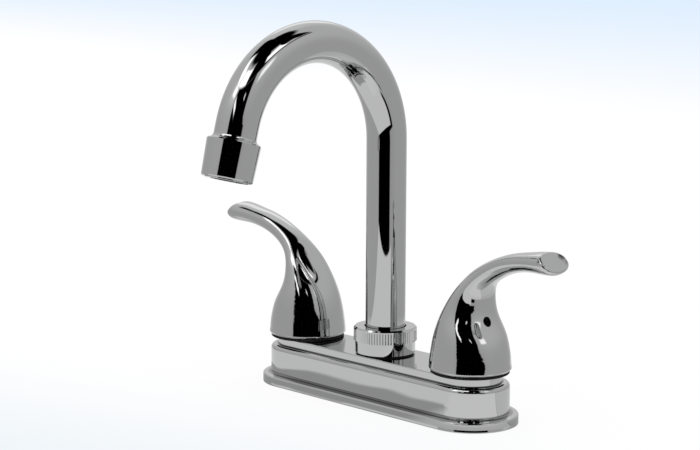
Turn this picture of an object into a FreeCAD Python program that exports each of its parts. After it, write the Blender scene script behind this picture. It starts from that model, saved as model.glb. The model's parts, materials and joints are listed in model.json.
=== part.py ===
import FreeCAD, Part
import math
import os

from FreeCAD import Vector

# A two-handle basin mixer tap on one oblong deck plate, for a 4 inch hole spacing.
# Origin: centre of the base's underside, on the spout's axis. +Z up, the user stands at -Y,
# the hot side is -X and the cold side is +X. All sizes are millimetres.

# Clearances
slip = 0.3            # between pieces that turn or slide past each other
fit_gap = 0.1         # round a tube in its socket, and round a tang in its slot
disc_slip = 0.15      # round the discs inside the cartridge
disc_gap = 0.1        # between the two ceramic discs
seat_gap = 0.05       # between a clip or screw and what it is pressed against
past = 1.0            # how far a cut runs past the faces that it opens

# Gooseneck spout
tube_radius = 8.9
tube_wall = 1.0
post_top = 117.1              # where the straight post ends and the arch begins
arch_radius = 43.6
arch_sweep = 165.0
tip_run = 6.5                 # straight tube past the arch, down to the tip collar

# Spout nut, lock ring and hub, each round the one before
nut_play = 0.5                # round the tube, inside the nut
flange_bearing = 0.8          # how far the ferrule's flange reaches under the nut
neck_margin = 0.2
hub_wall = 2.0
ring_wall = 2.7
ring_height = 6.1             # from the base cover to the nut, seal and lock ring together
ring_seal_height = 0.8
ring_seal_inset = 0.6
nut_overhang = 0.7
nut_height = 6.2
nut_lip = 2.4
nut_bevel = 0.7
flute_count = 72
flute_depth = 0.42
flute_width = 0.86
flute_height = 5.0
flange_play = 0.4
hub_floor = 5.0
thrust_washer_thickness = 0.8
ferrule_flange_thickness = 1.1
ferrule_length = 13.5
ferrule_wall = 0.45           # behind the grooves of the O-rings
spigot_length = 8.0           # what stands up inside the tube
o_ring_wire = 0.9
o_ring_pitch = 5.0
o_ring_squeeze_gap = 0.15

nut_bore = tube_radius + nut_play
ferrule_flange = nut_bore + flange_bearing
hub_neck_radius = ferrule_flange + neck_margin
hub_bore = hub_neck_radius - hub_wall
ring_radius = hub_neck_radius + slip + ring_wall
nut_radius = ring_radius + nut_overhang

# Tip collar and aerator
collar_wall = 2.3
collar_taper = 0.5
collar_length = 15.8
collar_cone = 2.6
collar_cone_wall = 1.3
collar_edge = 0.5
tube_in_collar = 3.5
aerator_wall = 1.2
aerator_skirt = 1.45          # collar wall left round the aerator
aerator_length = 9.5
aerator_proud = 0.4
aerator_thread_gap = 0.2
aerator_lip = 1.0
aerator_lip_height = 1.0
screen_thickness = 0.5
flow_disc_thickness = 2.0
flow_hole_radius = 0.8
flow_hole_circle = 4.6
flow_hole_count = 8
aerator_washer_thickness = 1.2
aerator_washer_width = 2.0

collar_top_radius = tube_radius + collar_wall
collar_bottom_radius = collar_top_radius - collar_taper
aerator_bore = collar_bottom_radius - aerator_skirt

# Base cover, a hollow casting with a stadium-shaped footprint
hole_spacing = 101.6          # centres of the two inlets, 4 inches
end_offset = 0.5              # from an inlet out to the centre of the base's round end
foot_side = 3.5               # height of the foot's upright edge
foot_edge = 0.7               # rounding over that edge
foot_slope = 0.35             # rise of the foot's top in to the cove
foot_width = 3.8              # how far the foot stands out from the wall
cove = 0.6
wall_top = 15.8
shoulder_radius = 2.0
ledge_width = 3.3             # from the wall in to the raised step
step_height = 3.7
cover_edge = 0.5
cover_wall = 2.2
cover_step_wall = 1.7
cover_ledge_wall = 2.5
cover_step_skin = 0.8         # casting left under the ledge, beside the step
cover_foot_wall = 2.3
hollow_slope = 2.4            # rise of the hollow from the foot in to the wall
groove_width = 0.35
body_play = 1.5               # round the hub and the valve bodies, inside the cover

half_spacing = hole_spacing / 2
end_centre = half_spacing + end_offset
step_radius = ring_radius     # the lock ring stands flush with the step
wall_radius = step_radius + ledge_width
foot_radius = wall_radius + foot_width
foot_height = foot_side + foot_edge + foot_slope
ledge_height = wall_top + shoulder_radius
cover_top = ledge_height + step_height
cover_underside = cover_top - cover_wall
hollow_shoulder = ledge_height - cover_ledge_wall
body_radius = wall_radius - cover_wall - body_play
seat_radius = step_radius - cover_step_wall - slip

# Base gasket
gasket_thickness = 2.0
gasket_gap = 0.4

# Valve bodies and inlet shanks
shank_radius = 10.45          # half inch pipe thread at the inlet end
shank_length = 46.0
inlet_length = 20.0           # free end that the supply line screws onto
inlet_bore = 6.5
deck_shank_step = 0.35        # the shank is this much bigger where it passes through the deck
valve_neck_radius = 10.0
valve_neck_height = 4.5       # above the cover
valve_wall = 1.9
valve_floor = 6.0
waterway_height = 9.5         # axis of the cross tubes
cross_tube_radius = 4.5
cross_tube_wall = 1.0
socket_depth = 2.5

deck_shank_radius = shank_radius + deck_shank_step
valve_neck_top = cover_top + valve_neck_height
valve_bore = valve_neck_radius - valve_wall

# Mounting washers and wing nuts under the deck
deck_thickness = 12.7         # what the mounting nuts clamp
washer_radius = 19.0
washer_thickness = 1.6
wing_nut_radius = 15.0
wing_nut_height = 10.0
wing_reach = 24.0
wing_height = 7.0
wing_thickness = 3.0
wing_count = 4

# Ceramic cartridges
cartridge_wall = 1.3
cartridge_lift = 1.2          # from the valve's floor to the housing's open end
flange_inset = 0.3
flange_thickness = 1.8
ceiling_depth = 4.0           # from the flange down to the housing's ceiling
neck_radius = 6.6
neck_length = 5.2
seal_height = 4.2
seal_wall = 1.95
disc_thickness = 3.0
port_radius = 2.0
port_offset = 3.6
window_width = 7.0
window_height = 6.0
stem_radius = 3.9
stem_flat = 3.2               # from the stem's axis to its flat
stem_flat_lift = 2.5          # from the cartridge's neck to the foot of the flat
tang_width = 3.6
tang_depth = 1.2
tang_inset = 0.5
stem_ring_depth = 3.4         # from the neck's top down to the O-ring
stem_ring_wire = 0.55
stem_ring_proud = 0.1
clip_thickness = 0.8
clip_radius = 5.4
clip_groove = 0.5
clip_opening = 3.0

cartridge_radius = valve_bore - slip
cartridge_flange = valve_neck_radius - flange_inset
cavity_radius = cartridge_radius - cartridge_wall
cartridge_bottom = valve_floor + cartridge_lift
disc_radius = cavity_radius - disc_slip
disc_seat = valve_floor + seal_height
moving_seat = disc_seat + disc_thickness + disc_gap
foot_seat = moving_seat + disc_thickness
flange_top = valve_neck_top + flange_thickness
neck_top = flange_top + neck_length
cartridge_ceiling = valve_neck_top - ceiling_depth
clip_low = neck_top + slip
clip_high = clip_low + clip_thickness
stem_ring_height = neck_top - stem_ring_depth

# Cartridge retaining nuts
lock_nut_wall = 2.2
lock_nut_corner_reach = 1.2   # how far the turned corners stand out past the flats
lock_nut_lip = 1.8

lock_nut_half = valve_neck_radius + slip + lock_nut_wall
lock_nut_corner = lock_nut_half + lock_nut_corner_reach
lock_nut_top = flange_top + lock_nut_lip

# Lever handles, hollow bells over the retaining nuts
nut_room = 1.1                # round the retaining nut
handle_skin = 2.95
handle_gap = 1.1              # over the base cover
handle_lip = 1.4
handle_lip_width = 2.0
cavity_head = 1.0             # from the retaining nut up to the cavity's shoulder
cavity_bevel = 0.6
cavity_bevel_height = 2.0
cavity_crown_play = 1.6
cavity_top_play = 0.9
lever_reach = 54.3            # from the handle's axis to the lever's tip
lever_rise = 50.8             # from the bell's lip to the lever's axis at the tip
crease_angle = 64.0           # where crown and underside meet, from the crown's middle
crease_lift = 0.75
crease_fade_angle = 55.0      # how far below the crease it dies away
crown_span_count = 8
underside_span_count = 14
step_count = 2                # sections from one station to the next
pad_tilt = 47.8               # of the slanting pad at the tip, degrees from level
pad_drop = 7.9                # from the crown down to the pad's slope, above the tip
pad_setback = 5.85            # from there up the slope to the pad's middle
pad_width = 14.5
pad_dish = 0.4
pad_edge = 0.8
hot_rest_turn = -1.8          # how each lever stands at rest, degrees off straight out
cold_rest_turn = -7.3
screw_rise = 22.3             # from the handle's underside to the screw's axis
screw_radius = 1.85
screw_length = 4.3
screw_socket = 2.0
screw_socket_depth = 1.6
screw_play = 0.2
stem_past_screw = 4.7

cavity_inner = lock_nut_corner + nut_room
handle_radius = cavity_inner + handle_skin
handle_underside = cover_top + handle_gap
handle_lip_height = handle_underside + handle_lip
lever_height = handle_lip_height + lever_rise
cavity_shoulder = lock_nut_top + cavity_head
cavity_top = clip_high + cavity_top_play
screw_height = handle_underside + screw_rise
stem_top = screw_height + stem_past_screw

# The lever's stations from the bell to the tip: share of the reach, share of the rise,
# lean of the section in degrees, then as shares of the bell's radius its half depth, its half
# width and how much fuller the crown is than the underside
LEVER_STATIONS = (
    (0.000, 0.000, 0.0, 1.000, 1.000, 0.000),
    (0.004, 0.187, 5.6, 0.929, 0.937, 0.005),
    (0.006, 0.339, 13.3, 0.796, 0.845, -0.021),
    (0.004, 0.487, 23.9, 0.575, 0.706, -0.084),
    (0.051, 0.635, 37.7, 0.371, 0.576, -0.058),
    (0.142, 0.752, 50.1, 0.276, 0.433, 0.020),
    (0.291, 0.862, 63.6, 0.243, 0.347, 0.000),
    (0.523, 0.953, 78.7, 0.228, 0.350, 0.000),
    (0.909, 1.000, 90.0, 0.258, 0.420, 0.000),
)
TIP_TURNS = (15, 30, 45, 60, 72, 82)  # degrees round the tip's cap

SIDES = (("hot", -1), ("cold", 1))
REST_TURNS = {-1: hot_rest_turn, 1: cold_rest_turn}
UP = Vector(0, 0, 1)
ORIGIN = Vector(0, 0, 0)


def cylinder(radius, low, high, x=0.0):
    return Part.makeCylinder(radius, high - low, Vector(x, 0, low), UP)


def ring(outer, inner, low, high, x=0.0):
    return cylinder(outer, low, high, x).cut(cylinder(inner, low - past, high + past, x))


def outline(start, *steps):
    """Closed wire in the XZ plane. A step is a point, or a pair: a point on an arc and its end."""
    edges = []
    here = Vector(start[0], 0, start[1])
    first = here
    for step in steps:
        if isinstance(step[0], tuple):
            middle = Vector(step[0][0], 0, step[0][1])
            there = Vector(step[1][0], 0, step[1][1])
            edges.append(Part.Arc(here, middle, there).toShape())
        else:
            there = Vector(step[0], 0, step[1])
            edges.append(Part.makeLine(here, there))
        here = there
    edges.append(Part.makeLine(here, first))
    return Part.Wire(edges)


def turned(wire, angle=360.0, x=0.0):
    solid = Part.Face(wire).revolve(ORIGIN, UP, angle)
    solid.translate(Vector(x, 0, 0))
    return solid


def stadium(wire):
    """The profile swept round a stadium: two half turns and a straight run between them."""
    half_turn = turned(wire, 180.0)
    half_turn.rotate(ORIGIN, UP, -90)
    right = half_turn.copy()
    right.translate(Vector(end_centre, 0, 0))
    left = half_turn.copy()
    left.rotate(ORIGIN, UP, 180)
    left.translate(Vector(-end_centre, 0, 0))
    half_face = Part.Face(wire)
    half_face.rotate(ORIGIN, UP, -90)
    half_face.translate(Vector(-end_centre, 0, 0))
    front = half_face.extrude(Vector(2 * end_centre, 0, 0))
    back = front.mirror(ORIGIN, Vector(0, 1, 0))
    return right.fuse([left, front, back]).removeSplitter()


def corner_arc(centre, radius, start_angle, end_angle):
    """The arc's middle and end, for an outline step, with angles in degrees in the XZ plane."""
    def point(angle):
        turn = math.radians(angle)
        return (centre[0] + radius * math.cos(turn), centre[1] + radius * math.sin(turn))
    return point((start_angle + end_angle) / 2), point(end_angle)


def eased(start, end):
    """An outline step that leaves its start level and reaches its end upright."""
    share = math.sqrt(0.5)
    middle = (start[0] + (end[0] - start[0]) * share, start[1] + (end[1] - start[1]) * (1 - share))
    return middle, end


def arc_radius(chord, depth):
    """Radius of the arc that is this deep under this chord."""
    return (chord * chord / 4 + depth * depth) / (2 * depth)


def hexagon(flats, height):
    """A level hexagon by its width across the flats."""
    corner = flats / math.sqrt(3)
    corners = []
    for index in range(7):
        turn = math.radians(60 * index)
        corners.append(Vector(corner * math.cos(turn), corner * math.sin(turn), height))
    return Part.Face(Part.makePolygon(corners))


def to_side(shape, side):
    """Carries a piece drawn on the cold side's own axis to its inlet."""
    if side < 0:
        shape.rotate(ORIGIN, UP, 180)
    shape.translate(Vector(side * half_spacing, 0, 0))
    return shape


def to_lever(shape, side):
    """Carries a piece that turns with the lever, which stands a little off straight at rest."""
    shape.rotate(ORIGIN, UP, REST_TURNS[side])
    return to_side(shape, side)


def save(name, shape):
    shape.exportStep("parts/" + name + ".step")


def base_cover():
    foot_centre = (foot_radius - foot_edge, foot_side)
    cove_foot = (wall_radius + cove, foot_height)
    shoulder_centre = (wall_radius - shoulder_radius, wall_top)
    edge_centre = (step_radius - cover_edge, cover_top - cover_edge)
    riser_foot = (step_radius + groove_width, ledge_height)
    outside = outline(
        (0, 0),
        (foot_radius, 0),
        (foot_radius, foot_side),
        corner_arc(foot_centre, foot_edge, 0, 90),
        cove_foot,
        eased(cove_foot, (wall_radius, foot_height + cove)),
        (wall_radius, wall_top),
        corner_arc(shoulder_centre, shoulder_radius, 0, 90),
        riser_foot,
        eased(riser_foot, (step_radius, ledge_height + groove_width)),
        (step_radius, cover_top - cover_edge),
        corner_arc(edge_centre, cover_edge, 0, 90),
        (0, cover_top),
    )
    inner_foot = foot_radius - cover_wall
    inner_wall = wall_radius - cover_wall
    inner_step = step_radius - cover_step_wall
    hollow_foot = foot_height - cover_foot_wall
    hollow = outline(
        (0, -past),
        (inner_foot, -past),
        (inner_foot, hollow_foot),
        (inner_wall, hollow_foot + hollow_slope),
        (inner_wall, hollow_shoulder),
        (inner_step, ledge_height - cover_step_skin),
        (inner_step, cover_underside),
        (0, cover_underside),
    )
    cover = stadium(outside).cut(stadium(hollow))
    cuts = [cylinder(hub_neck_radius + slip, cover_underside - past, cover_top + past)]
    for _, side in SIDES:
        cuts.append(cylinder(valve_neck_radius + slip, cover_underside - past, cover_top + past,
                             side * half_spacing))
    return cover.cut(cuts)


def base_gasket():
    edge = foot_radius - cover_wall - gasket_gap
    sheet = stadium(outline((0, 0), (edge, 0), (edge, gasket_thickness), (0, gasket_thickness)))
    holes = [cylinder(deck_shank_radius + slip, -past, gasket_thickness + past, side * half_spacing)
             for _, side in SIDES]
    return sheet.cut(holes)


def cross_tube_cut(radius, start, end):
    """A level bore along X at the waterway's height."""
    return Part.makeCylinder(radius, end - start, Vector(start, 0, waterway_height), Vector(1, 0, 0))


def cross_tube_port():
    """What the -X side of a turned body loses to the waterway and to the tube's socket."""
    reach = body_radius + past
    return [
        cross_tube_cut(cross_tube_radius - cross_tube_wall, -reach, 0),
        cross_tube_cut(cross_tube_radius + fit_gap, -reach, -body_radius + socket_depth),
    ]


def valve_body(side):
    body = cylinder(body_radius, gasket_thickness, hollow_shoulder)
    body = body.fuse([
        cylinder(seat_radius, hollow_shoulder, cover_underside),
        cylinder(valve_neck_radius, cover_underside, valve_neck_top),
        cylinder(deck_shank_radius, inlet_length - shank_length, gasket_thickness),
        cylinder(shank_radius, -shank_length, inlet_length - shank_length),
    ]).removeSplitter()
    body = body.cut([
        cylinder(valve_bore, valve_floor, valve_neck_top + past),
        cylinder(inlet_bore, -shank_length - past, valve_floor + past),
    ])
    return to_side(body.cut(cross_tube_port()), side)


def cross_tube(side):
    near = body_radius - socket_depth
    far = half_spacing - near
    tube = cross_tube_cut(cross_tube_radius, near, far)
    tube = tube.cut(cross_tube_cut(cross_tube_radius - cross_tube_wall, near - past, far + past))
    if side < 0:
        tube.rotate(ORIGIN, UP, 180)
    return tube


def mounting_washer(side):
    top = -deck_thickness
    return ring(washer_radius, deck_shank_radius + slip, top - washer_thickness, top,
                side * half_spacing)


def mounting_nut(side):
    top = -deck_thickness - washer_thickness
    low = top - wing_nut_height
    wings = []
    for index in range(wing_count // 2):
        wing = Part.makeBox(2 * wing_reach, wing_thickness, wing_height,
                            Vector(-wing_reach, -wing_thickness / 2, low))
        wing.rotate(ORIGIN, UP, index * 360.0 / wing_count)
        wings.append(wing)
    nut = cylinder(wing_nut_radius, low, top).fuse(wings).removeSplitter()
    return to_side(nut.cut(cylinder(deck_shank_radius + slip, low - past, top + past)), side)


def cartridge_housing(side):
    body = cylinder(cartridge_radius, cartridge_bottom, valve_neck_top)
    body = body.fuse([
        cylinder(cartridge_flange, valve_neck_top, flange_top),
        cylinder(neck_radius, flange_top, neck_top),
    ]).removeSplitter()
    window = Part.makeBox(4 * cartridge_radius, window_width, window_height,
                          Vector(-2 * cartridge_radius, -window_width / 2, moving_seat))
    body = body.cut([
        cylinder(cavity_radius, cartridge_bottom - past, cartridge_ceiling),
        cylinder(stem_radius + slip, cartridge_ceiling - past, neck_top + past),
        window,
    ])
    return to_side(body, side)


def seat_seal(side):
    return ring(disc_radius, disc_radius - seal_wall, valve_floor, disc_seat, side * half_spacing)


def ported_disc(low, high):
    """A ceramic disc with two round ports on the X axis."""
    disc = cylinder(disc_radius, low, high)
    return disc.cut([cylinder(port_radius, low - past, high + past, x)
                     for x in (-port_offset, port_offset)])


def fixed_disc(side):
    return to_side(ported_disc(disc_seat, disc_seat + disc_thickness), side)


def moving_disc(side):
    disc = ported_disc(moving_seat, foot_seat)
    disc.rotate(ORIGIN, UP, 90)
    slot_foot = foot_seat - tang_depth - fit_gap
    slot_width = tang_width + 2 * fit_gap
    slot = Part.makeBox(4 * disc_radius, slot_width, foot_seat - slot_foot + past,
                        Vector(-2 * disc_radius, -slot_width / 2, slot_foot))
    return to_lever(disc.cut(slot), side)


def stem(side):
    foot_top = cartridge_ceiling - slip
    tang_reach = disc_radius - tang_inset
    tang = Part.makeBox(2 * tang_reach, tang_width, tang_depth,
                        Vector(-tang_reach, -tang_width / 2, foot_seat - tang_depth))
    body = cylinder(disc_radius, foot_seat, foot_top)
    body = body.fuse([cylinder(stem_radius, foot_top, stem_top), tang])
    ring_groove = ring(stem_radius + past, stem_radius - 2 * stem_ring_wire,
                       stem_ring_height - stem_ring_wire, stem_ring_height + stem_ring_wire)
    groove = ring(stem_radius + past, stem_radius - clip_groove, clip_low, clip_high)
    flat_foot = neck_top + stem_flat_lift
    flat = Part.makeBox(stem_radius, 4 * stem_radius, stem_top - flat_foot + past,
                        Vector(stem_flat, -2 * stem_radius, flat_foot))
    return to_lever(body.cut([ring_groove, groove, flat]), side)


def stem_o_ring(side):
    centre = stem_radius - stem_ring_wire + stem_ring_proud
    return Part.makeTorus(centre, stem_ring_wire, Vector(side * half_spacing, 0, stem_ring_height))


def stem_clip(side):
    clip = ring(clip_radius, stem_radius - clip_groove + seat_gap, clip_low, clip_high)
    opening = Part.makeBox(2 * clip_radius, clip_opening, clip_thickness + 2 * past,
                           Vector(0, -clip_opening / 2, clip_low - past))
    return to_lever(clip.cut(opening), side)


def lock_nut(side):
    nut = hexagon(2 * lock_nut_half, cover_top).extrude(Vector(0, 0, lock_nut_top - cover_top))
    nut = nut.common(cylinder(lock_nut_corner, cover_top, lock_nut_top))
    nut = nut.cut([
        cylinder(valve_neck_radius + slip, cover_top - past, flange_top),
        cylinder(neck_radius + slip, cover_top, lock_nut_top + past),
    ])
    return to_side(nut, side)


def through(points):
    """A smooth curve through the points, with a whole-number mark at each."""
    curve = Part.BSplineCurve()
    curve.interpolate(Points=points, Parameters=[float(mark) for mark in range(len(points))])
    return curve


def station_curves():
    """Smooth curves through the stations: places (x, z, lean) and sizes (depth, width, fullness)."""
    places, sizes = [], []
    for reach_share, rise_share, lean, depth, width, fullness in LEVER_STATIONS:
        height = handle_lip_height + rise_share * lever_rise
        places.append(Vector(reach_share * lever_reach, height, lean))
        sizes.append(Vector(depth, width, fullness) * handle_radius)
    return through(places), through(sizes)


def crease_share(angle):
    """How much of the crease's lift a point of the section gets, by its angle from the crown."""
    if angle <= crease_angle:
        return (math.sin(math.radians(angle)) / math.sin(math.radians(crease_angle))) ** 2
    return max(0.0, 1 - (angle - crease_angle) / crease_fade_angle) ** 2


def lever_section(place, size, lift):
    """Closed wire of a crown and an underside that meet at two soft creases."""
    tilt = math.radians(place.z)
    crown_way = Vector(-math.cos(tilt), 0, math.sin(tilt))
    centre = Vector(place.x, 0, place.y)

    def curve(start, end, spans):
        points = []
        for index in range(spans + 1):
            angle = start + (end - start) * index / spans
            turn = math.radians(angle)
            along_crown = size.x * math.cos(turn) + size.z * math.cos(turn) ** 2
            along_crown += lift * crease_share(min(abs(angle), abs(360 - angle)))
            points.append(centre + crown_way * along_crown + Vector(0, size.y * math.sin(turn), 0))
        return through(points).toShape()

    return Part.Wire([curve(-crease_angle, crease_angle, crown_span_count),
                      curve(crease_angle, 360 - crease_angle, underside_span_count)])


def lever_sections():
    place_curve, size_curve = station_curves()
    last = len(LEVER_STATIONS) - 1

    def lift(size):
        """The creases grow as the lever thins out."""
        return crease_lift * (1 - size.x / handle_radius) ** 2

    sections = []
    for step in range(last * step_count + 1):
        mark = step / step_count
        size = size_curve.value(mark)
        sections.append(lever_section(place_curve.value(mark), size, lift(size)))
    neck = place_curve.value(last)
    size = size_curve.value(last)
    cap = lever_reach - neck.x
    for turn in TIP_TURNS:
        scale = math.cos(math.radians(turn))
        place = neck + Vector(cap * math.sin(math.radians(turn)), 0, 0)
        sections.append(lever_section(place, size * scale, lift(size) * scale))
    return sections


def tip_pad():
    """A shallow ball-shaped dish for the thumb, which cuts the lever's end off at a slant."""
    tilt = math.radians(pad_tilt)
    down_slope = Vector(math.cos(tilt), 0, -math.sin(tilt))
    normal = Vector(math.sin(tilt), 0, math.cos(tilt))
    crown_height = lever_height + LEVER_STATIONS[-1][3] * handle_radius
    middle = Vector(lever_reach, 0, crown_height - pad_drop) - down_slope * pad_setback
    radius = arc_radius(pad_width, pad_dish)
    return Part.makeSphere(radius, middle + normal * (radius - pad_dish))


def handle(side):
    sections = lever_sections()
    lip = Part.Face(sections[0]).extrude(Vector(0, 0, handle_underside - handle_lip_height))
    body = lip.fuse(Part.makeLoft(sections, True, False))
    rim = handle_radius + seat_gap
    lip_start = (handle_radius - handle_lip_width, handle_underside)
    outside_lip = turned(outline(
        (lip_start[0], handle_underside - past),
        lip_start,
        eased(lip_start, (rim, handle_lip_height)),
        (rim + past, handle_lip_height),
        (rim + past, handle_underside - past),
    ))
    cavity = turned(outline(
        (0, handle_underside - past),
        (cavity_inner, handle_underside - past),
        (cavity_inner, cavity_shoulder - cavity_bevel_height),
        (cavity_inner - cavity_bevel, cavity_shoulder),
        (neck_radius + cavity_crown_play, cavity_top),
        (0, cavity_top),
    ))
    socket = cylinder(stem_radius + slip, cavity_top - past, stem_top + slip)
    hole = Part.makeCylinder(screw_radius + screw_play, handle_radius, Vector(0, 0, screw_height),
                             Vector(1, 0, 0))
    body = body.cut([outside_lip, tip_pad(), cavity, socket, hole])
    pad_rim = [edge for face in body.Faces if isinstance(face.Surface, Part.Sphere)
               for edge in face.Edges]
    return to_lever(body.makeFillet(pad_edge, pad_rim), side)


def set_screw(side):
    screw = cylinder(screw_radius, 0, screw_length)
    recess = hexagon(screw_socket, screw_length - screw_socket_depth)
    screw = screw.cut(recess.extrude(Vector(0, 0, screw_socket_depth + past)))
    screw.rotate(ORIGIN, Vector(0, 1, 0), 90)
    screw.translate(Vector(stem_flat + seat_gap, 0, screw_height))
    return to_lever(screw, side)


def spout_hub():
    body = cylinder(body_radius, gasket_thickness + slip, hollow_shoulder)
    body = body.fuse([
        cylinder(seat_radius, hollow_shoulder, cover_underside),
        cylinder(hub_neck_radius, cover_underside, hub_neck_top),
    ]).removeSplitter()
    cuts = [cylinder(hub_bore, hub_floor, hub_neck_top + past)]
    for turn in (0, 180):
        for port in cross_tube_port():
            port.rotate(ORIGIN, UP, turn)
            cuts.append(port)
    return body.cut(cuts)


ring_low = cover_top + ring_seal_height
ring_top = cover_top + ring_height
nut_top = ring_top + nut_height
tube_foot = nut_top - nut_lip - flange_play
flange_seat = tube_foot - ferrule_flange_thickness
hub_neck_top = flange_seat - slip - thrust_washer_thickness


def ring_seal():
    return ring(ring_radius - ring_seal_inset, hub_neck_radius + slip, cover_top, ring_low)


def lock_ring():
    return ring(ring_radius, hub_neck_radius + slip, ring_low, ring_top)


def spout_nut():
    body = turned(outline(
        (0, ring_top),
        (nut_radius, ring_top),
        (nut_radius, nut_top - nut_bevel),
        (nut_radius - nut_bevel, nut_top),
        (0, nut_top),
    ))
    body = body.cut([
        cylinder(hub_neck_radius + slip, ring_top - past, nut_top - nut_lip),
        cylinder(nut_bore, ring_top, nut_top + past),
    ])
    low = ring_top - past
    mouth = nut_radius + flute_depth / 2
    flutes = []
    for index in range(flute_count):
        notch = Part.makePolygon([
            Vector(mouth, -flute_width / 2, low),
            Vector(nut_radius - flute_depth, 0, low),
            Vector(mouth, flute_width / 2, low),
            Vector(mouth, -flute_width / 2, low)])
        flute = Part.Face(notch).extrude(Vector(0, 0, flute_height + past))
        flute.rotate(ORIGIN, UP, index * 360.0 / flute_count)
        flutes.append(flute)
    return body.cut(flutes)


def thrust_washer():
    return ring(hub_neck_radius, hub_bore, hub_neck_top, hub_neck_top + thrust_washer_thickness)


def o_ring_heights():
    middle = flange_seat - ferrule_length / 2
    return (middle - o_ring_pitch / 2, middle + o_ring_pitch / 2)


plug_radius = hub_bore - slip
ferrule_groove = hub_bore - o_ring_squeeze_gap - 2 * o_ring_wire


def ferrule():
    body = cylinder(plug_radius, flange_seat - ferrule_length, flange_seat)
    body = body.fuse([
        cylinder(ferrule_flange, flange_seat, tube_foot),
        cylinder(tube_radius - tube_wall - fit_gap, tube_foot, tube_foot + spigot_length),
    ]).removeSplitter()
    cuts = [cylinder(ferrule_groove - ferrule_wall, flange_seat - ferrule_length - past,
                     tube_foot + spigot_length + past)]
    for height in o_ring_heights():
        cuts.append(ring(plug_radius + past, ferrule_groove, height - o_ring_wire,
                         height + o_ring_wire))
    return body.cut(cuts)


def spout_o_rings():
    centre = hub_bore - o_ring_squeeze_gap - o_ring_wire
    return Part.makeCompound([Part.makeTorus(centre, o_ring_wire, Vector(0, 0, height))
                              for height in o_ring_heights()])


def arch_point(angle):
    """A point of the arch's centre line, the angle in degrees from the post."""
    turn = math.radians(angle)
    return Vector(0, -arch_radius * (1 - math.cos(turn)), post_top + arch_radius * math.sin(turn))


def arch_way(angle):
    turn = math.radians(angle)
    return Vector(0, -math.sin(turn), math.cos(turn))


tip_way = arch_way(arch_sweep)
collar_top = arch_point(arch_sweep) + tip_way * tip_run


def spout_tube():
    foot = Vector(0, 0, tube_foot)
    bend = Vector(0, 0, post_top)
    end = collar_top + tip_way * tube_in_collar
    path = Part.Wire([
        Part.makeLine(foot, bend),
        Part.Arc(bend, arch_point(arch_sweep / 2), arch_point(arch_sweep)).toShape(),
        Part.makeLine(arch_point(arch_sweep), end),
    ])

    def swept(radius):
        circle = Part.Wire(Part.makeCircle(radius, foot, UP))
        return path.makePipeShell([circle], True, True)

    return swept(tube_radius).cut(swept(tube_radius - tube_wall))


aerator_low = -collar_length - aerator_proud
aerator_high = aerator_low + aerator_length
aerator_radius = aerator_bore - aerator_thread_gap
insert_radius = aerator_radius - aerator_wall - fit_gap
insert_low = aerator_low + aerator_lip_height


def along_tip(shape):
    """Carries a piece drawn hanging down from the origin to the collar's top, on the tip's axis."""
    shape.rotate(ORIGIN, Vector(1, 0, 0), -(180 - arch_sweep))
    shape.translate(collar_top)
    return shape


def tip_collar():
    body = turned(outline(
        (0, -collar_length),
        (collar_bottom_radius - collar_edge, -collar_length),
        (collar_bottom_radius, -collar_length + collar_edge),
        (collar_top_radius, -collar_edge),
        (collar_top_radius - collar_edge, 0),
        (tube_radius + collar_cone_wall, 0),
        eased((tube_radius + collar_cone_wall, 0), (tube_radius + fit_gap, collar_cone)),
        (0, collar_cone),
    ))
    body = body.cut([
        cylinder(tube_radius + fit_gap, -tube_in_collar - fit_gap, collar_cone + past),
        cylinder(tube_radius - tube_wall, -collar_length - past, 0),
        cylinder(aerator_bore, -collar_length - past, aerator_high + aerator_washer_thickness),
    ])
    return along_tip(body)


def aerator_housing():
    inner = aerator_radius - aerator_wall
    body = ring(aerator_radius, inner, insert_low, aerator_high)
    lip = ring(aerator_radius, inner - aerator_lip, aerator_low, insert_low)
    return along_tip(body.fuse(lip).removeSplitter())


def aerator_screen():
    return along_tip(cylinder(insert_radius, insert_low, insert_low + screen_thickness))


def aerator_flow_disc():
    low = insert_low + screen_thickness
    high = low + flow_disc_thickness
    holes = []
    for index in range(flow_hole_count):
        hole = cylinder(flow_hole_radius, low - past, high + past, flow_hole_circle)
        hole.rotate(ORIGIN, UP, index * 360.0 / flow_hole_count)
        holes.append(hole)
    return along_tip(cylinder(insert_radius, low, high).cut(holes))


def aerator_washer():
    return along_tip(ring(aerator_radius, aerator_radius - aerator_washer_width, aerator_high,
                          aerator_high + aerator_washer_thickness))


def build():
    os.makedirs("parts", exist_ok=True)
    save("base_cover", base_cover())
    save("base_gasket", base_gasket())
    save("spout_hub", spout_hub())
    save("spout_ring_seal", ring_seal())
    save("spout_lock_ring", lock_ring())
    save("spout_nut", spout_nut())
    save("spout_thrust_washer", thrust_washer())
    save("spout_ferrule", ferrule())
    save("spout_o_rings", spout_o_rings())
    save("spout_tube", spout_tube())
    save("tip_collar", tip_collar())
    save("aerator_housing", aerator_housing())
    save("aerator_screen", aerator_screen())
    save("aerator_flow_disc", aerator_flow_disc())
    save("aerator_washer", aerator_washer())
    for name, side in SIDES:
        save(name + "_valve_body", valve_body(side))
        save(name + "_cross_tube", cross_tube(side))
        save(name + "_mounting_washer", mounting_washer(side))
        save(name + "_mounting_nut", mounting_nut(side))
        save(name + "_cartridge_housing", cartridge_housing(side))
        save(name + "_seat_seal", seat_seal(side))
        save(name + "_fixed_disc", fixed_disc(side))
        save(name + "_moving_disc", moving_disc(side))
        save(name + "_stem", stem(side))
        save(name + "_stem_o_ring", stem_o_ring(side))
        save(name + "_stem_clip", stem_clip(side))
        save(name + "_lock_nut", lock_nut(side))
        save(name + "_handle", handle(side))
        save(name + "_set_screw", set_screw(side))


build()
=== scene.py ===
import json
import math

import bpy
from mathutils import Matrix, Vector


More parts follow.
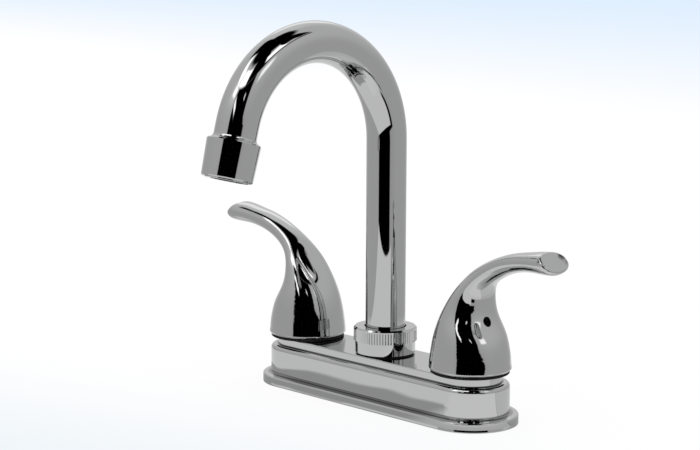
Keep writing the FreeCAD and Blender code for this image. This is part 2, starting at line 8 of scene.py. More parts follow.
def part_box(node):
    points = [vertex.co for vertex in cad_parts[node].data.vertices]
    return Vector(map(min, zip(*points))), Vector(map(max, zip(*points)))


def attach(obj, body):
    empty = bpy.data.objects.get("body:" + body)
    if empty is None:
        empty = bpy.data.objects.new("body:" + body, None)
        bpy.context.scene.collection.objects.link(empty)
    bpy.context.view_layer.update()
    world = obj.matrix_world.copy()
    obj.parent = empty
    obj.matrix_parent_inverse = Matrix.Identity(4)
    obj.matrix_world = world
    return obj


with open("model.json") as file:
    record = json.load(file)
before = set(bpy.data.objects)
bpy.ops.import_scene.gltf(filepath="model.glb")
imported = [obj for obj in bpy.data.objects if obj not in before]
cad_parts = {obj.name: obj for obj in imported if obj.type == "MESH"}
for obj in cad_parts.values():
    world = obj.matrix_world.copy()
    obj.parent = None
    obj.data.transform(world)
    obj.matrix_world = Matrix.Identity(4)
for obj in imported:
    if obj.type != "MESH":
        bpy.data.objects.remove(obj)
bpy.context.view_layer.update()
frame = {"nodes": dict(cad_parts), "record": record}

MM = 0.001
DEGREES = 180 / math.pi                # in one radian

# The camera stands where the photograph was taken from. Its yaw is measured from +Y towards -X.
CAMERA_PLACE = Vector((0.5290, -0.5368, 0.1936))
CAMERA_YAW = math.radians(45.79)
CAMERA_PITCH = math.radians(8.66)      # downwards
CAMERA_ROLL = math.radians(0.22)
FOCAL_WIDTHS = 1726.7 / 700            # focal length in image widths
SENSOR_WIDTH = 36.0                    # in the lens's own millimetres

# Directions
ALONG_BASE = (1, 0, 0)
ACROSS_BASE = (0, 1, 0)
UP = (0, 0, 1)
TOWARDS_CAMERA = Vector((math.sin(CAMERA_YAW), -math.cos(CAMERA_YAW), 0))
TO_THE_RIGHT = Vector((math.cos(CAMERA_YAW), math.sin(CAMERA_YAW), 0))


class Wire:
    """A node's output. Python's operators on it add Math nodes."""

    def __init__(self, bench, socket):
        self.bench = bench
        self.socket = socket

    def math(self, operation, *inputs):
        return self.bench.add("ShaderNodeMath", {"operation": operation}, list(inputs))

    def __add__(self, other):
        return self.math("ADD", self, other)

    def __sub__(self, other):
        return self.math("SUBTRACT", self, other)

    def __mul__(self, other):
        return self.math("MULTIPLY", self, other)

    def __truediv__(self, other):
        return self.math("DIVIDE", self, other)

    def __rsub__(self, other):
        return self.math("SUBTRACT", other, self)

    __radd__ = __add__
    __rmul__ = __mul__

    def power(self, other):
        return self.math("POWER", self, other)

    def absolute(self):
        return self.math("ABSOLUTE", self)

    def most(self, other):
        return self.math("MAXIMUM", self, other)

    def least(self, other):
        return self.math("MINIMUM", self, other)

    def clamped(self):
        """Kept between 0 and 1."""
        return self.most(0.0).least(1.0)


class Bench:
    """A node tree with one way to add a node to it."""

    def __init__(self, tree):
        self.tree = tree
        tree.nodes.clear()

    def add(self, kind, settings=None, inputs=None, output=0):
        """Adds a node, sets it up, fills its sockets and gives back one of its outputs."""
        node = self.tree.nodes.new(kind)
        for name, value in (settings or {}).items():
            setattr(node, name, value)
        pairs = inputs.items() if isinstance(inputs, dict) else enumerate(inputs or [])
        for name, value in pairs:
            if isinstance(value, Wire):
                self.tree.links.new(value.socket, node.inputs[name])
            else:
                node.inputs[name].default_value = value
        return Wire(self, node.outputs[output]) if len(node.outputs) else None

    def rise(self, value, low, high):
        """0 below low and 1 above high, with a soft change between them."""
        return self.add("ShaderNodeMapRange", {"interpolation_type": "SMOOTHSTEP"},
                        {"Value": value, "From Min": low, "From Max": high})

    def band(self, value, low, high, soft):
        """1 between low and high, falling to 0 over a soft edge on each side."""
        return self.rise(value, low - soft, low + soft) * (1 - self.rise(value, high - soft, high + soft))

    def patch(self, azimuth, elevation, extent):
        """1 inside an extent, which is a band of azimuth and a band of elevation."""
        across, upward = extent
        return self.band(azimuth, *across) * self.band(elevation, *upward)

    def along(self, vector, direction):
        """How far a vector reaches in a direction."""
        return self.add("ShaderNodeVectorMath", {"operation": "DOT_PRODUCT"},
                        [vector, tuple(direction)], "Value")

    def length(self, vector):
        return self.add("ShaderNodeVectorMath", {"operation": "LENGTH"}, [vector], "Value")

    def bearing(self, right, front):
        """How far a way turns to the right from straight towards the camera, in degrees."""
        return right.math("ARCTAN2", right, front) * DEGREES

    def scaled(self, vector, factors):
        return self.add("ShaderNodeVectorMath", {"operation": "MULTIPLY"}, [vector, factors], "Vector")

    def noise(self, vector, scale, detail=2.0, roughness=0.5):
        """Cloudy values round a half. The scale is how many clouds go in a metre."""
        return self.add("ShaderNodeTexNoise", {},
                        {"Vector": vector, "Scale": scale, "Detail": detail, "Roughness": roughness}, "Fac")

    def blend(self, share, first, second):
        """A colour between two, by a share from 0 to 1."""
        rgb = [colour if isinstance(colour, Wire) else (*colour, 1.0) for colour in (first, second)]
        return self.add("ShaderNodeMix", {"data_type": "RGBA"}, {0: share, 6: rgb[0], 7: rgb[1]}, 2)

    def bump(self, height, depth):
        """Relief whose height is given in parts of its depth."""
        return self.add("ShaderNodeBump", {}, {"Height": height, "Distance": depth}, "Normal")


def new_finish(name):
    material = bpy.data.materials.new(name)
    material.use_nodes = True
    return material, Bench(material.node_tree)


def surface(bench, **inputs):
    """Ends a finish in a Principled shader whose sockets are named with underscores."""
    named = {name.replace("_", " "): value for name, value in inputs.items()}
    shader = bench.add("ShaderNodeBsdfPrincipled", {}, named)
    bench.add("ShaderNodeOutputMaterial", {}, {"Surface": shader})


def place_on(bench):
    """A point's place in the tap's own frame, in metres."""
    return bench.add("ShaderNodeTexCoord", {}, {}, "Object")


# Chrome plate, what the polishing wheel does to it, and painted shade in the base's corners

BASE_HALF_DEPTH = 20.5 * MM            # of the base's outline, a bar with round ends
BASE_STRAIGHT = 51.3 * MM              # from the middle to where an end starts to turn
FOOT_SIDE = 3.5 * MM                   # height of the foot's upright edge
FOOT_LEAN = 0.16 * MM
COVE_HEIGHT = 4.55 * MM                # where the wall meets the foot
COVE_SHADE_DROP = 0.36 * MM            # from there down to where the strip of painted shade starts
COVE_SHADE_HEIGHT = 1.16 * MM
COVE_SHADE_LIFT = 0.24 * MM            # how much higher the strip runs round the ends
STEP_FOOT_HEIGHT = 17.8 * MM           # where the raised step meets the ledge
STEP_RADIUS = 13.4 * MM
HEM_START = 23.6 * MM                  # the hem is the lowest part of a bell
HEM_HEIGHT = 6.5 * MM
HEM_FLARE = 0.22 * MM

COOL_CHROME = (0.545, 0.55, 0.555)
PLAIN_CHROME = (0.575, 0.575, 0.575)
# The colour of the painted shade in the base's corners
PAINTED_SHADE = (0.10, 0.10, 0.10)
CHROME_ROUGHNESS = 0.02
FILM_ROUGHNESS = 0.03                  # more where a thin film lies on the chrome
ONE_METRE = 1.0                        # depth of a bump whose height is in metres


def from_middle(bench, place):
    """How far a point is from the line between the two inlets, seen from above."""
    side = bench.along(place, ALONG_BASE)
    depth = bench.along(place, ACROSS_BASE)
    past_end = (side.absolute() - BASE_STRAIGHT).most(0.0)
    return (past_end * past_end + depth * depth).power(0.5)


def chrome_finish(name, ripple_size, ripple_depth, fullness=None, shade=None):
    """Polished chrome plate. Ripples left by the polishing wheel bend its reflections a little."""
    material, bench = new_finish(name)
    place = place_on(bench)
    haze = bench.noise(place, 45.0, 3.0, 0.55)
    wipe = bench.noise(bench.scaled(place, (1.0, 1.0, 0.25)), 900.0, 2.0, 0.6)
    film = bench.rise(haze, 0.52, 0.78) * bench.rise(wipe, 0.45, 0.75)
    colour = bench.blend(haze, COOL_CHROME, PLAIN_CHROME)
    # Painted shade: the colour darkens where the shade mask is 1
    if shade:
        colour = bench.blend(shade(bench, place), colour, PAINTED_SHADE)
    height = bench.noise(place, 1 / ripple_size, 1.0, 0.3) * ripple_depth
    if fullness:
        height = height + fullness(bench, place)
    surface(bench,
            Base_Color=colour,
            Metallic=1.0,
            Roughness=CHROME_ROUGHNESS + film * FILM_ROUGHNESS,
            Normal=bench.bump(height, ONE_METRE))
    return material


def bell_fullness(bench, place):
    """The wheel takes a little more off a bell above its hem, so that its lowest part flares."""
    height = (bench.along(place, UP) - HEM_START) / HEM_HEIGHT
    return height.clamped() * -HEM_FLARE


def foot_curl(bench, place):
    """The foot's upright edge leans back a little near its lower rim."""
    height = (bench.along(place, UP) - 0.1 * FOOT_SIDE) / (0.26 * FOOT_SIDE)
    return height.clamped() * -FOOT_LEAN


def painted_corner_shade(bench, place):
    """Painted shade and a painted dark reflection on top of the foot, and painted shade in the step's inner
    corner.
    """
    height = bench.along(place, UP)
    side = bench.along(place, ALONG_BASE)
    at_end = bench.rise(side.absolute(), 0.7 * BASE_STRAIGHT, BASE_STRAIGHT)
    strip_low = at_end * COVE_SHADE_LIFT + (COVE_HEIGHT - COVE_SHADE_DROP)
    cove = bench.band(height - strip_low, 0.0, COVE_SHADE_HEIGHT, 0.05 * MM)
    step_foot = (bench.band(height, STEP_FOOT_HEIGHT - 0.6 * MM, STEP_FOOT_HEIGHT + 0.5 * MM, 0.15 * MM)
                 * (1 - bench.rise(from_middle(bench, place) - STEP_RADIUS, 0.3 * MM, 0.8 * MM)))
    return cove * (0.85 - at_end * 0.25) + step_foot * 0.9


# Finishes of the other pieces

def brass_finish():
    """Turned brass: fine tool marks round each piece, and a thin brown bloom."""
    material, bench = new_finish("turned_brass")
    place = place_on(bench)
    marks = bench.noise(bench.scaled(place, (0.02, 0.02, 1.0)), 9000.0, 2.0, 0.5)
    bloom = bench.noise(place, 160.0, 4.0, 0.6)
    aged = bench.rise(bloom, 0.45, 0.75)
    surface(bench,
            Base_Color=bench.blend(aged, (0.83, 0.62, 0.30), (0.60, 0.42, 0.19)),
            Metallic=1.0,
            Roughness=0.22 + aged * 0.16 + marks * 0.08,
            Normal=bench.bump(marks, 0.02 * MM))
    return material


def copper_finish():
    """Drawn copper tube, with faint lines along it and darker heat marks."""
    material, bench = new_finish("drawn_copper")
    place = place_on(bench)
    lines = bench.noise(bench.scaled(place, (0.03, 1.0, 1.0)), 5000.0, 2.0, 0.5)
    heat = bench.rise(bench.noise(place, 110.0, 3.0, 0.6), 0.42, 0.7)
    surface(bench,
            Base_Color=bench.blend(heat, (0.86, 0.50, 0.33), (0.52, 0.26, 0.17)),
            Metallic=1.0,
            Roughness=0.2 + heat * 0.2 + lines * 0.06,
            Normal=bench.bump(lines, 0.01 * MM))
    return material


def zinc_finish():
    """Zinc plate on stamped steel, with its grain and a slight yellow cast in places."""
    material, bench = new_finish("zinc_plate")
    place = place_on(bench)
    grain = bench.noise(place, 2600.0, 3.0, 0.6)
    cast = bench.rise(bench.noise(place, 90.0, 3.0, 0.5), 0.4, 0.7)
    surface(bench,
            Base_Color=bench.blend(cast, (0.62, 0.63, 0.65), (0.66, 0.63, 0.55)),
            Metallic=1.0,
            Roughness=0.3 + grain * 0.16,
            Normal=bench.bump(grain, 0.02 * MM))
    return material


WIRE_PITCH = 0.6 * MM
WIRE_SLANT = math.radians(15)          # how the aerator leans, with the spout's tip
SECOND_WIRES = (0, math.cos(WIRE_SLANT), -math.sin(WIRE_SLANT))


def woven_wire_finish():
    """The aerator's screen: round wires over and under each other, with painted shade in the holes between.
    """
    material, bench = new_finish("woven_wire")
    place = place_on(bench)

    def wires(direction):
        way = bench.along(place, direction)
        turn = way.math("PINGPONG", way, WIRE_PITCH / 2)
        return turn / (WIRE_PITCH / 2)

    height = wires(ALONG_BASE).most(wires(SECOND_WIRES))
    # Painted shade in the holes between the wires
    shaded_hole = 1 - bench.rise(height, 0.25, 0.5)
    surface(bench,
            Base_Color=bench.blend(shaded_hole, (0.45, 0.45, 0.46), (0.02, 0.02, 0.02)),
            Metallic=1.0 - shaded_hole * 0.9,
            Roughness=0.28 + shaded_hole * 0.4,
            Normal=bench.bump(height, 0.15 * MM))
    return material


def blackened_finish():
    """Black oxide on hardened steel: nearly black, a little oily, browner where it has rubbed."""
    material, bench = new_finish("black_oxide")
    place = place_on(bench)
    grain = bench.noise(place, 2200.0, 3.0, 0.6)
    rubbed = bench.rise(bench.noise(place, 260.0, 3.0, 0.55), 0.5, 0.78)
    surface(bench,
            Base_Color=bench.blend(rubbed, (0.030, 0.030, 0.033), (0.075, 0.062, 0.052)),
            Metallic=1.0,
            Roughness=0.34 + grain * 0.14,
            Normal=bench.bump(grain, 0.01 * MM))
    return material


def moulded_finish(name, colour, worn_colour, roughness, grain_size, grain_depth, gloss=0.5):
    """A moulded rubber or plastic with a fine grain, paler where it has been handled."""
    material, bench = new_finish(name)
    place = place_on(bench)
    grain = bench.noise(place, 1 / grain_size, 3.0, 0.6)
    handled = bench.rise(bench.noise(place, 120.0, 3.0, 0.55), 0.45, 0.75)
    surface(bench,
            Base_Color=bench.blend(handled, colour, worn_colour),
            Roughness=roughness + handled * 0.08 + grain * 0.06,
            Specular_IOR_Level=gloss,
            Normal=bench.bump(grain, grain_depth))
    return material


def ceramic_finish():
    """Lapped ceramic, almost white, with a faint cloud in its colour."""
    material, bench = new_finish("lapped_ceramic")
    place = place_on(bench)
    cloud = bench.noise(place, 300.0, 3.0, 0.5)
    surface(bench,
            Base_Color=bench.blend(cloud, (0.90, 0.90, 0.87), (0.84, 0.83, 0.79)),
            Roughness=0.12 + cloud * 0.1,
            Normal=bench.bump(bench.noise(place, 4000.0, 2.0), 0.004 * MM))
    return material


FINISHES = {
    "chrome_plate": chrome_finish("cast_chrome", ripple_size=22 * MM, ripple_depth=0.10 * MM),
    "tube_chrome": chrome_finish("tube_chrome", ripple_size=40 * MM, ripple_depth=0.06 * MM),
    "lever_chrome": chrome_finish("lever_chrome", ripple_size=22 * MM, ripple_depth=0.04 * MM,
                                  fullness=bell_fullness),
    "base_chrome": chrome_finish("base_chrome", ripple_size=22 * MM, ripple_depth=0.10 * MM,
                                 fullness=foot_curl, shade=painted_corner_shade),
    "cast_brass": brass_finish(),
    "copper_tube": copper_finish(),
    "plated_steel": zinc_finish(),
    "steel_mesh": woven_wire_finish(),
    "black_steel": blackened_finish(),
    "black_rubber": moulded_finish("black_rubber", (0.010, 0.010, 0.010), (0.024, 0.023, 0.022),
                                   roughness=0.55, grain_size=0.6 * MM, grain_depth=0.02 * MM,
                                   gloss=0.12),
    "black_plastic": moulded_finish("black_plastic", (0.035, 0.035, 0.037), (0.06, 0.06, 0.06),
                                    roughness=0.42, grain_size=0.4 * MM, grain_depth=0.02 * MM),
    "white_nylon": moulded_finish("white_nylon", (0.86, 0.86, 0.82), (0.78, 0.77, 0.72),
                                  roughness=0.35, grain_size=0.8 * MM, grain_depth=0.01 * MM),
    "white_ceramic": ceramic_finish(),
}
OWN_FINISH = {
    "spout_tube": "tube_chrome",
    "tip_collar": "tube_chrome",
    "aerator_housing": "tube_chrome",
    "hot_handle": "lever_chrome",
    "cold_handle": "lever_chrome",
    "base_cover": "base_chrome",
}


def dress_nodes():
    """Gives each CAD node the finish of its material slot, or a variant of its own."""
    for part in frame["record"]["subparts"]:
        name = part["node"]
        finish = FINISHES[OWN_FINISH.get(name, part["material_slot"])]
        for holder in frame["nodes"][name].material_slots:
            holder.material = finish


def new_piece(name, points, faces, material):
    """An object in the scene, made of points and faces, all of one material."""
    mesh = bpy.data.meshes.new(name)
    mesh.from_pydata(points, [], faces)
    mesh.materials.append(material)
    piece = bpy.data.objects.new(name, mesh)
    bpy.context.scene.collection.objects.link(piece)
    return piece


# Threads of the inlet shanks, which the CAD leaves plain

THREAD_PITCH = 25.4 / 14 * MM
THREAD_DEPTH = 0.32 * MM
THREAD_SINK = 0.05 * MM                # into the shank, which carries it
THREAD_HALF_ROOT = THREAD_PITCH * 0.44
THREAD_HALF_CREST = THREAD_PITCH * 0.10
THREAD_START = 0.8 * MM                # above the shank's lower end
THREAD_TOP = -1.0 * MM                 # below the deck
THREAD_STEPS = 72                      # round one turn
SHANK_RADIUS = 10.80 * MM
SHANK_END_RADIUS = 10.45 * MM
SHANK_END_LENGTH = 20.0 * MM


def inlet_thread(side):
    """A ridge that winds up one shank, low at both ends and thinner where the shank is."""
    low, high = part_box(f"{side}_valve_body")
    centre_x = (low.x + high.x) / 2
    start, step_height = low.z + THREAD_START, low.z + SHANK_END_LENGTH
    turns = (THREAD_TOP - start) / THREAD_PITCH
    count = int(turns * THREAD_STEPS)
    points, faces = [], []
    for index in range(count + 1):
        share = index / count
        angle = share * turns * 2 * math.pi
        height = start + share * (THREAD_TOP - start)
        radius = SHANK_RADIUS if height > step_height else SHANK_END_RADIUS
        run_out = min(1.0, index / THREAD_STEPS, (count - index) / THREAD_STEPS)
        crest = THREAD_DEPTH * run_out
        for out, up in ((-THREAD_SINK, -THREAD_HALF_ROOT), (crest, -THREAD_HALF_CREST),
                        (crest, THREAD_HALF_CREST), (-THREAD_SINK, THREAD_HALF_ROOT)):
            reach = radius + out
            points.append((centre_x + reach * math.cos(angle), reach * math.sin(angle), height + up))
        if index:
            before, here = 4 * (index - 1), 4 * index
            for corner in range(3):
                faces.append((before + corner, here + corner, here + corner + 1, before + corner + 1))
    last = 4 * count
    faces.append((3, 2, 1, 0))
    faces.append((last, last + 1, last + 2, last + 3))
    thread = new_piece(f"{side}_inlet_thread", points, faces, FINISHES["cast_brass"])
    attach(thread, "base")


# Black rubber rings under the bells of the levers, which fill the gap and darken it as painted shade

RING_INNER = 14.9 * MM                 # below the skin of the bell, outside the lock nut
RING_OUTER = 16.9 * MM
RING_SINK = 0.03 * MM                  # up into the bell, which carries it
RING_CLEARANCE = 0.1 * MM              # over the base cover
RING_ROUNDING = 0.35 * MM
ROUNDING_STEPS = 4                     # over a quarter turn
RING_STEPS = 128


def bell_shade_ring(side):
    """A black ring with rounded lower edges that hangs from the underside of a bell and stands in for the
    shade in the gap.
    """
    body_low, body_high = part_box(f"{side}_valve_body")
    centre_x = (body_low.x + body_high.x) / 2
    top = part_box(f"{side}_handle")[0].z + RING_SINK
    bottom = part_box("base_cover")[1].z + RING_CLEARANCE
    profile = [(RING_OUTER, top), (RING_INNER, top)]
    for centre, first in ((RING_INNER + RING_ROUNDING, 180), (RING_OUTER - RING_ROUNDING, 270)):
        for step in range(ROUNDING_STEPS + 1):
            angle = math.radians(first + step * 90 / ROUNDING_STEPS)
            profile.append((centre + RING_ROUNDING * math.cos(angle),
                            bottom + RING_ROUNDING + RING_ROUNDING * math.sin(angle)))
    points, faces = [], []
    corners = len(profile)
    for index in range(RING_STEPS):
        angle = 2 * math.pi * index / RING_STEPS
        near, far = index * corners, (index + 1) % RING_STEPS * corners
        for corner, (reach, height) in enumerate(profile):
            after = (corner + 1) % corners
            points.append((centre_x + reach * math.cos(angle), reach * math.sin(angle), height))
            faces.append((near + corner, near + after, far + after, far + corner))
    ring = new_piece(f"{side}_bell_shade_ring", points, faces, FINISHES["black_rubber"])
    ring.data.shade_smooth()
    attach(ring, f"{side}_lever")


# The studio: a grey tent with a light table, long lamps and a dark opening for the camera

WHITE = (1.0, 1.0, 1.0)
HAZE = (0.70, 0.835, 0.99)             # far behind the tap
FRONT_SHADE = (0.82, 0.885, 0.935)
PAPER = (0.8, 0.8, 0.8)
PLAIN_LEVEL = 1.0                      # a colour renders as it is written
DECK_GLOW = 1.04                       # how bright the deck looks by itself to the eye
DECK_GLOW_SHARE = 0.85                 # the rest shows the tap's shadow

# Azimuth turns to the right from straight towards the camera, elevation up from the table, in degrees.
# An extent is a band of azimuth and a band of elevation: from, to, and how soft its edges are.
CLOTH_LEVEL = 0.47
RIGHT_GLOW = (39.0, 57.0, 4.0), (29.0, 39.0, 3.0)
LEFT_GLOW = (-84.0, -48.0, 8.0), (34.0, 50.0, 8.0)
SEAM = (12.0, 98.0, 3.0), (45.5, 48.5, 0.8)
LOW_LAMP = (-73.0, -52.0, 3.0), (38.0, 46.5, 2.0)
MIDDLE_LAMP = (-57.0, -12.5, 1.5), (47.5, 62.5, 1.2)
LAMP_LEVEL = 1.9
SLANT = 0.667                          # how many degrees the streak and the spot drop per degree
STREAK = (-40.0, -25.0, 2.0), (6.5, 13.5, 1.2)
STREAK_LEVEL = 1.7
SPOT = (4.5, 9.5, 0.8), (35.0, 40.0, 0.8)
SPOT_LEVEL = 0.9


def tent_cloth(bench, azimuth, elevation):
    """Grey cloth, paler at the sides, behind the tap and higher up, with soft glows on it."""
    away = azimuth.absolute()
    cloth = (CLOTH_LEVEL + bench.rise(away, 20.0, 60.0) * 0.05 + bench.rise(away, 130.0, 175.0) * 0.16
             + bench.rise(elevation, 0.0, 35.0) * 0.13)
    back_card = bench.rise(away, 160.0, 166.0) * bench.band(elevation, 24.0, 40.0, 3.0)
    return (cloth + bench.patch(azimuth, elevation, RIGHT_GLOW) * 0.9
            + bench.patch(azimuth, elevation, LEFT_GLOW) * 0.25 + back_card * 0.4)


def tent_gaps(bench, azimuth, elevation):
    """1 where the tent is dark: the camera's opening, the gap above it, the roof, a post and a seam."""
    tube_view = bench.band(elevation, -13.0, -5.0, 0.6)    # what the spout's post mirrors
    opening = (bench.band(azimuth, -42.5 - tube_view * 2.5, 25.5 - tube_view * 6.5, 1.4)
               * (1 - bench.rise(elevation, 45.0, 47.0)))
    flap = (bench.band(azimuth, 20.0, 38.0, 1.4) * (1 - bench.rise(elevation + azimuth * 0.7, 30.0, 33.0))
            * (1 - tube_view))
    above = bench.band(azimuth, -12.0, 40.0, 1.6) * bench.rise(elevation, 43.0, 47.0)
    roof_edge = 67.0 - bench.band(azimuth, -152.0, -116.0, 5.0) * 15.0
    roof = bench.rise(elevation - roof_edge, -3.0, 3.0)
    post_low = 54.5 - bench.rise(azimuth, 78.0, 86.0) * 5.0
    post = bench.band(azimuth, 62.0, 101.0, 2.0) * bench.rise(elevation - post_low, -1.5, 1.5)
    seam = bench.patch(azimuth, elevation, SEAM)
    return opening.most(flap).most(above).most(roof).most(post).most(seam)


def tent_lamps(bench, azimuth, elevation):
    """1 where one of the four long lamps hangs."""
    left_low = 43.0 + (-62.0 - azimuth).most(0.0) * 0.26
    left_lamp = (bench.band(azimuth, -114.0, -60.0, 2.0) * bench.rise(elevation - left_low, 0.0, 3.0)
                 * (1 - bench.rise(elevation + azimuth * 0.1, 52.0, 55.0)))
    low_lamp = bench.patch(azimuth, elevation, LOW_LAMP)
    middle_lamp = bench.patch(azimuth, elevation, MIDDLE_LAMP)
    right_high = (57.0 + (azimuth - 15.0) * 0.13).least(62.9 - (azimuth - 60.0) * 1.2)
    right_lamp = (bench.band(azimuth, 35.0, 72.0, 1.5) * bench.rise(elevation, 50.0, 52.0)
                  * (1 - bench.rise(elevation - right_high, -1.0, 1.0)))
    return left_lamp.most(low_lamp).most(middle_lamp).most(right_lamp)


def studio_light(bench, azimuth, elevation):
    """How bright the tent with its lamps is in a direction."""
    tent = tent_cloth(bench, azimuth, elevation) * (1 - tent_gaps(bench, azimuth, elevation))
    lamps = tent_lamps(bench, azimuth, elevation)
    slanted = elevation + azimuth * SLANT
    streak = bench.patch(azimuth, slanted, STREAK)
    spot = bench.patch(azimuth, slanted, SPOT)
    return tent * (1 - lamps) + lamps * LAMP_LEVEL + streak * STREAK_LEVEL + spot * SPOT_LEVEL


def ray_kinds(bench):
    """1 for what the camera sees directly, and 1 for what metal or glass mirrors or lets through."""
    path = "ShaderNodeLightPath"
    seen = bench.add(path, {}, {}, "Is Camera Ray")
    mirrored = bench.add(path, {}, {}, "Is Glossy Ray").most(bench.add(path, {}, {}, "Is Transmission Ray"))
    return seen, mirrored


def hang_studio():
    """Pale to the eye, plain and even as a light, and the tent with its lamps in a mirror."""
    world = bpy.data.worlds.new("studio")
    bpy.context.scene.world = world
    world.use_nodes = True
    bench = Bench(world.node_tree)
    way = bench.add("ShaderNodeTexCoord", {}, {}, "Generated")
    azimuth = bench.bearing(bench.along(way, TO_THE_RIGHT), bench.along(way, TOWARDS_CAMERA))
    upward = bench.along(way, UP)
    elevation = upward.math("ARCSINE", upward) * DEGREES
    seen, mirrored = ray_kinds(bench)
    tent = mirrored * (1 - seen)
    strength = tent * studio_light(bench, azimuth, elevation) + (1 - tent) * PLAIN_LEVEL
    colour = bench.blend(seen, WHITE, HAZE)
    shader = bench.add("ShaderNodeBackground", {}, {"Color": colour, "Strength": strength})
    bench.add("ShaderNodeOutputWorld", {}, {"Surface": shader})


# The deck, on which the table's edges are set out in metres from the tap's middle

DECK_REACH = 40.0
DECK_DROP = 0.1 * MM                   # below the base, so that the two don't touch
TABLE_LEFT = 0.187                     # where the table's left edge starts
TABLE_LEFT_SLOPE = 0.48                # how far it spreads for each metre towards the camera
TABLE_RIGHT_BEARING = 25.5, 28.5       # its right edge, in degrees seen from the tap
TABLE_FRONT = 0.388, 0.400
TABLE_ROUND_TAP = 0.16, 0.20           # it is lit all round the tap up to here
TABLE_BEHIND_BEARING = 157.0, 161.0
SHADED_TABLE = 0.44                    # how bright the table is close to the base, in its painted shadow
OPEN_TABLE_GAIN = 0.40
BESIDE_END_GAIN = 0.06
SIDE_TABLE_LOSS = 0.18
TABLE_END_BEARING = 65.0               # of the side table's edge, seen from the base's cold end


def deck_colour(bench, place, front, right):
    """White round the tap, a pale blue far behind it, and a breath of blue at its front left."""
    beyond = right * 1.6 - front * 0.9
    depth = (beyond - 1.9).most(0.0) / -2.4
    far = 1 - depth.math("EXPONENT", depth)
    distance = bench.length(place)
    pale = bench.blend(far.most(bench.rise(distance, 6.0, 25.0)), WHITE, HAZE)
    corner = bench.rise(front - right * 0.6, 0.0, 0.24)
    return bench.blend(corner * (1 - bench.rise(distance, 0.6, 2.0)), pale, FRONT_SHADE)


def lit_table(bench, place, front, right):
    """Where the chrome sees a lit table: a fan towards the camera, round the tap and behind it."""
    bearing = bench.bearing(right, front)
    left_edge = (bench.rise(right + TABLE_LEFT + front * TABLE_LEFT_SLOPE, -0.004, 0.004)
                 * bench.rise(front, -0.05, -0.03))
    fan = (left_edge * (1 - bench.rise(bearing, *TABLE_RIGHT_BEARING))
           * (1 - bench.rise(front, *TABLE_FRONT)))
    near = 1 - bench.rise(bench.length(place), *TABLE_ROUND_TAP)
    behind = bench.rise(bearing.absolute(), *TABLE_BEHIND_BEARING)
    return fan.most(near).most(behind)


def table_brightness(bench, place, front, right):
    """Darker close to the base, where the base's shadow is painted into the table's glow, paler further off
    and at its cold end, and darker on a side table.
    """
    from_base = from_middle(bench, place) - BASE_HALF_DEPTH
    wavy = bench.noise(place, 22.0, 1.0)
    open_table = bench.rise(from_base + wavy * 0.014, 0.029, 0.035)
    cold_end = bench.rise(bench.along(place, ALONG_BASE), 0.024, 0.042)
    off_foot = bench.rise(from_base, 0.008, 0.016)
    beside_end = cold_end * off_foot * (1 - bench.rise(from_base, 0.05, 0.08))
    brightness = (SHADED_TABLE + open_table.most(cold_end * (0.5 + off_foot * 0.5)) * OPEN_TABLE_GAIN
                  + beside_end * BESIDE_END_GAIN)
    turn = math.radians(TABLE_END_BEARING)
    past_edge = ((right - BASE_STRAIGHT * TO_THE_RIGHT.x) * math.cos(turn)
                 - (front - BASE_STRAIGHT * TOWARDS_CAMERA.x) * math.sin(turn))
    side_table = bench.rise(past_edge, 0.0, 0.6 * MM)
    slit = bench.band(past_edge, -0.8 * MM, 0.2 * MM, 0.3 * MM) * cold_end
    return brightness * (1 - slit * 0.5) - side_table * cold_end * SIDE_TABLE_LOSS


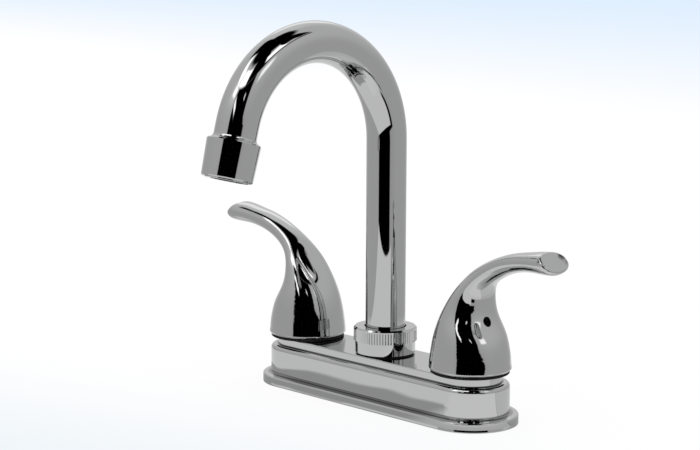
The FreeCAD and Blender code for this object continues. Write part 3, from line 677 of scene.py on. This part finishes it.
def lay_deck():
    """The pale surface under the tap. Seen in the chrome it is a lit table that ends in front of the tap."""
    material, bench = new_finish("pale_deck")
    corners = [(x * DECK_REACH, y * DECK_REACH, -DECK_DROP) for x, y in ((-1, -1), (1, -1), (1, 1), (-1, 1))]
    deck = new_piece("deck", corners, [(0, 1, 2, 3)], material)
    place = bench.add("ShaderNodeNewGeometry", {}, {}, "Position")
    below = bench.add("ShaderNodeNewGeometry", {}, {}, "Backfacing")
    front = bench.along(place, TOWARDS_CAMERA)
    right = bench.along(place, TO_THE_RIGHT)
    seen, mirrored = ray_kinds(bench)
    paper = bench.add("ShaderNodeBsdfDiffuse", {}, {"Color": (*PAPER, 1.0)})
    clear = bench.add("ShaderNodeBsdfTransparent", {}, {})
    pale = bench.add("ShaderNodeEmission", {}, {"Color": deck_colour(bench, place, front, right),
                                                "Strength": DECK_GLOW})
    lit = bench.add("ShaderNodeEmission", {}, {"Strength": table_brightness(bench, place, front, right)})
    for_eye = bench.add("ShaderNodeMixShader", {}, [DECK_GLOW_SHARE, paper, pale])
    for_chrome = bench.add("ShaderNodeMixShader", {}, [lit_table(bench, place, front, right), clear, lit])
    plain = bench.add("ShaderNodeMixShader", {}, [seen, paper, for_eye])
    plain = bench.add("ShaderNodeMixShader", {}, [mirrored * (1 - seen), plain, for_chrome])
    shader = bench.add("ShaderNodeMixShader", {}, [below, plain, clear])
    bench.add("ShaderNodeOutputMaterial", {}, {"Surface": shader})


def stand_camera():
    """Puts the camera at the photograph's viewing angle."""
    ahead = Vector((-math.sin(CAMERA_YAW) * math.cos(CAMERA_PITCH),
                    math.cos(CAMERA_YAW) * math.cos(CAMERA_PITCH),
                    -math.sin(CAMERA_PITCH)))
    level_up = TO_THE_RIGHT.cross(ahead)
    right = math.cos(CAMERA_ROLL) * TO_THE_RIGHT + math.sin(CAMERA_ROLL) * level_up
    up = math.cos(CAMERA_ROLL) * level_up - math.sin(CAMERA_ROLL) * TO_THE_RIGHT
    lens = bpy.data.cameras.new("camera")
    lens.sensor_width = SENSOR_WIDTH
    lens.lens = FOCAL_WIDTHS * SENSOR_WIDTH
    lens.clip_start = 0.01
    lens.clip_end = 200.0
    camera = bpy.data.objects.new("camera", lens)
    bpy.context.scene.collection.objects.link(camera)
    turn = Matrix((right, up, -ahead)).transposed().to_4x4()
    camera.matrix_world = Matrix.Translation(CAMERA_PLACE) @ turn
    bpy.context.scene.camera = camera


stand_camera()
dress_nodes()
for side in ("hot", "cold"):
    inlet_thread(side)
    bell_shade_ring(side)
hang_studio()
lay_deck()
bpy.context.scene.view_settings.view_transform = "Standard"
